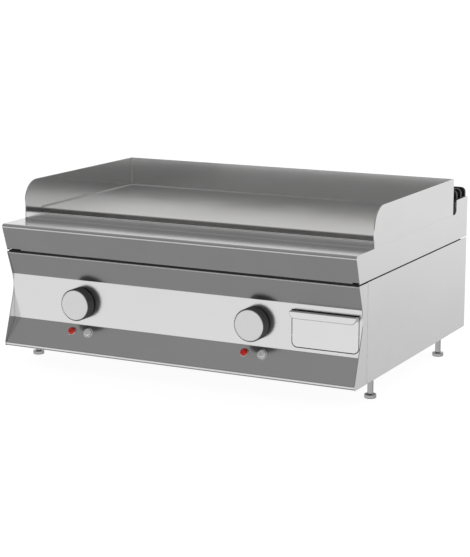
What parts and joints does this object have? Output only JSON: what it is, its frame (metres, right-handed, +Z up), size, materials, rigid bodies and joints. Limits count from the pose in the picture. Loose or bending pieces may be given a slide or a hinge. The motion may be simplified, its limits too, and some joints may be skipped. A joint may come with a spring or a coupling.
{
  "type": "flat top griddle",
  "caption": "Countertop gas flat top griddle with splash guard, grease trough and drawer, turning knobs, igniter buttons, lamps, flue cover and levelling feet.",
  "frame": {"origin": "centre of the footprint on the surface the griddle stands on, midway between the foremost and rearmost edges", "axes": "+Z up, +X to the right when facing the controls, front towards -Y"},
  "size_m": [0.8, 0.6149, 0.379],
  "materials": {
    "satin_steel": "satin stainless sheet",
    "polished_steel": "fine satin, nearly mirror",
    "plate_steel": "ground and polished cooking plate",
    "cast_iron": "black enamelled casting",
    "black_plastic": "ribbed heat-resistant plastic",
    "grey_plastic": "smooth grey",
    "red_lens": "translucent red",
    "chrome": "polished chrome",
    "cap_metal": "spun satin disc",
    "brass": "machined",
    "galvanised": "galvanised sheet",
    "dark_sheet": "black",
    "spring_steel": "bright wire",
    "foot_steel": "turned and polished"
  },
  "bodies": {
    "cabinet": {"back_panel": "satin_steel", "back_screws": "chrome", "bottom_panel": "galvanised", "burner_box": "galvanised", "burner_feeds": "spring_steel", "burner_left": "galvanised", "burner_right": "galvanised", "cable_gland": "black_plastic", "cheek_left": "satin_steel", "cheek_right": "satin_steel", "drawer_runners": "galvanised", "fascia": "satin_steel", "flue_duct": "galvanised", "foot_nuts": "galvanised", "gas_inlet_pipe": "galvanised", "gas_manifold": "galvanised", "gas_valve_left": "brass", "gas_valve_right": "brass", "grease_trough": "polished_steel", "griddle_plate": "plate_steel", "igniter_body_left": "grey_plastic", "igniter_body_right": "grey_plastic", "igniter_spring_left": "spring_steel", "igniter_spring_right": "spring_steel", "injectors": "brass", "lamp_bezel_left": "chrome", "lamp_bezel_right": "chrome", "lamp_lens_left": "red_lens", "lamp_lens_right": "red_lens", "pilot_burners": "brass", "side_panel_left": "satin_steel", "side_panel_right": "satin_steel", "spacer_frame": "dark_sheet", "splash_guard": "polished_steel", "terminal_box": "black_plastic", "thermostat_bulbs": "spring_steel", "top_sheet": "satin_steel", "upper_back": "satin_steel", "upper_side_left": "satin_steel", "upper_side_right": "satin_steel", "valve_spring_left": "spring_steel", "valve_spring_right": "spring_steel"},
    "plunger_left": {"valve_plunger_left": "brass"},
    "plunger_right": {"valve_plunger_right": "brass"},
    "dial_left": {"knob_left": "black_plastic", "knob_cap_left": "cap_metal", "knob_shaft_left": "spring_steel"},
    "dial_right": {"knob_right": "black_plastic", "knob_cap_right": "cap_metal", "knob_shaft_right": "spring_steel"},
    "button_left": {"igniter_button_left": "grey_plastic"},
    "button_right": {"igniter_button_right": "grey_plastic"},
    "drawer": {"drawer_box": "polished_steel", "drawer_front": "polished_steel", "drawer_handle": "polished_steel"},
    "grille": {"flue_grille": "cast_iron"},
    "leveller_front_left": {"foot_front_left": "foot_steel"},
    "leveller_front_right": {"foot_front_right": "foot_steel"},
    "leveller_rear_left": {"foot_rear_left": "foot_steel"},
    "leveller_rear_right": {"foot_rear_right": "foot_steel"}
  },
  "joints": [
    {"name": "knob_push_left", "type": "slide", "parent": "cabinet", "child": "plunger_left", "axis": [0, 1, 0], "range_m": [0, 0.0025], "stiffness_N_per_m": 1500, "springref_m": -0.003},
    {"name": "knob_turn_left", "type": "hinge", "parent": "plunger_left", "child": "dial_left", "pos_m": [-0.231, -0.2715, 0.1413], "axis": [0, -1, 0], "range_deg": [0, 270]},
    {"name": "igniter_press_left", "type": "slide", "parent": "cabinet", "child": "button_left", "axis": [0, 0.8143, -0.5804], "range_m": [0, 0.0035], "stiffness_N_per_m": 400, "springref_m": -0.002},
    {"name": "knob_push_right", "type": "slide", "parent": "cabinet", "child": "plunger_right", "axis": [0, 1, 0], "range_m": [0, 0.0025], "stiffness_N_per_m": 1500, "springref_m": -0.003},
    {"name": "knob_turn_right", "type": "hinge", "parent": "plunger_right", "child": "dial_right", "pos_m": [0.1702, -0.2715, 0.1413], "axis": [0, -1, 0], "range_deg": [0, 270]},
    {"name": "igniter_press_right", "type": "slide", "parent": "cabinet", "child": "button_right", "axis": [0, 0.8143, -0.5804], "range_m": [0, 0.0035], "stiffness_N_per_m": 400, "springref_m": -0.002},
    {"name": "drawer_slide", "type": "slide", "parent": "cabinet", "child": "drawer", "axis": [0, -1, 0], "range_m": [0, 0.34]},
    {"name": "grille_lift", "type": "slide", "parent": "cabinet", "child": "grille", "axis": [0, 0, 1], "range_m": [0, 0.06]},
    {"name": "foot_level_front_left", "type": "slide", "parent": "cabinet", "child": "leveller_front_left", "axis": [0, 0, -1], "range_m": [0, 0.02]},
    {"name": "foot_level_front_right", "type": "slide", "parent": "cabinet", "child": "leveller_front_right", "axis": [0, 0, -1], "range_m": [0, 0.02]},
    {"name": "foot_level_rear_left", "type": "slide", "parent": "cabinet", "child": "leveller_rear_left", "axis": [0, 0, -1], "range_m": [0, 0.02]},
    {"name": "foot_level_rear_right", "type": "slide", "parent": "cabinet", "child": "leveller_rear_right", "axis": [0, 0, -1], "range_m": [0, 0.02]}
  ]
}
